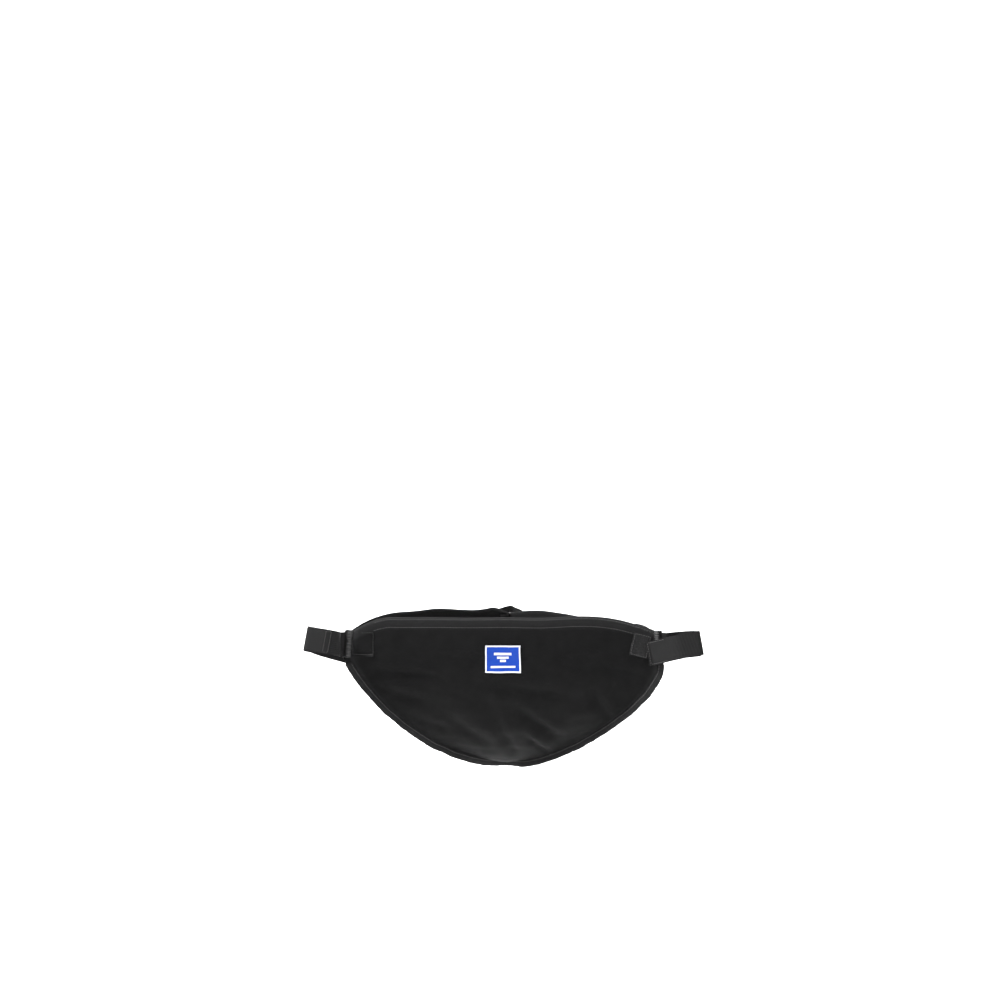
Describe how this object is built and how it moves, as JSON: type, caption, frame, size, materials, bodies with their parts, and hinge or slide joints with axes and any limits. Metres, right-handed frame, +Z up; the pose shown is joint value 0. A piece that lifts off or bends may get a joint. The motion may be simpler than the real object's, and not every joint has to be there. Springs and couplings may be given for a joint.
{
  "type": "tripod weight bag",
  "caption": "Open cloth weight bag that hangs between a tripod's legs: three sewn panels with bound seams, and a hook-and-loop strap round each leg.",
  "frame": {"origin": "on the axis of the tripod that holds the bag, level with the middle of the straps at the corners", "axes": "+Z up along the tripod's axis; +X to the right seen from the front; -Y out of the front panel, which carries the label"},
  "size_m": [0.412, 0.3588, 0.1638],
  "materials": {
    "oxford_cloth": "black oxford weave, matte with a faint sheen",
    "binding_tape": "black ribbed binding tape with overlocked edge, matte",
    "strap_webbing": "black woven webbing with ribs along it",
    "hook_tape": "black hook tape with a ribbed back",
    "loop_pile": "black loop pile, soft and matte",
    "label_cloth": "woven label, bright blue with a white edge"
  },
  "bodies": {
    "bag": {"panel_front": "oxford_cloth", "hem_front": "oxford_cloth", "patch_front": "loop_pile", "panel_rear_right": "oxford_cloth", "hem_rear_right": "oxford_cloth", "patch_rear_right": "loop_pile", "panel_rear_left": "oxford_cloth", "hem_rear_left": "oxford_cloth", "patch_rear_left": "loop_pile", "seam_binding_left": "binding_tape", "end_binding_strap_left": "binding_tape", "end_binding_patch_left": "binding_tape", "strap_tail_left": "strap_webbing", "seam_binding_right": "binding_tape", "end_binding_strap_right": "binding_tape", "end_binding_patch_right": "binding_tape", "strap_tail_right": "strap_webbing", "seam_binding_rear": "binding_tape", "end_binding_strap_rear": "binding_tape", "end_binding_patch_rear": "binding_tape", "strap_tail_rear": "strap_webbing", "label": "label_cloth"},
    "left_strap": {"strap_left": "strap_webbing", "hook_fold_left": "hook_tape"},
    "left_flap": {"flap_left": "hook_tape"},
    "right_strap": {"strap_right": "strap_webbing", "hook_fold_right": "hook_tape"},
    "right_flap": {"flap_right": "hook_tape"},
    "rear_strap": {"strap_rear": "strap_webbing", "hook_fold_rear": "hook_tape"},
    "rear_flap": {"flap_rear": "hook_tape"}
  },
  "joints": [
    {"name": "strap_swing_left", "type": "hinge", "parent": "bag", "child": "left_strap", "pos_m": [-0.16628, -0.096, 0.001], "axis": [0, 0, 1], "range_deg": [0, 60]},
    {"name": "flap_peel_left", "type": "hinge", "parent": "left_strap", "child": "left_flap", "pos_m": [-0.2004, -0.1157, 0.00698], "axis": [0.3439, 0.1986, 0.9178], "range_deg": [0, 120]},
    {"name": "strap_swing_right", "type": "hinge", "parent": "bag", "child": "right_strap", "pos_m": [0.16628, -0.096, 0.001], "axis": [0, 0, 1], "range_deg": [0, 60]},
    {"name": "flap_peel_right", "type": "hinge", "parent": "right_strap", "child": "right_flap", "pos_m": [0.2004, -0.1157, 0.00698], "axis": [-0.3439, 0.1986, 0.9178], "range_deg": [0, 120]},
    {"name": "strap_swing_rear", "type": "hinge", "parent": "bag", "child": "rear_strap", "pos_m": [0, 0.192, 0.001], "axis": [0, 0, 1], "range_deg": [0, 60]},
    {"name": "flap_peel_rear", "type": "hinge", "parent": "rear_strap", "child": "rear_flap", "pos_m": [0, 0.23141, 0.00698], "axis": [0, -0.3972, 0.9178], "range_deg": [0, 120]}
  ]
}
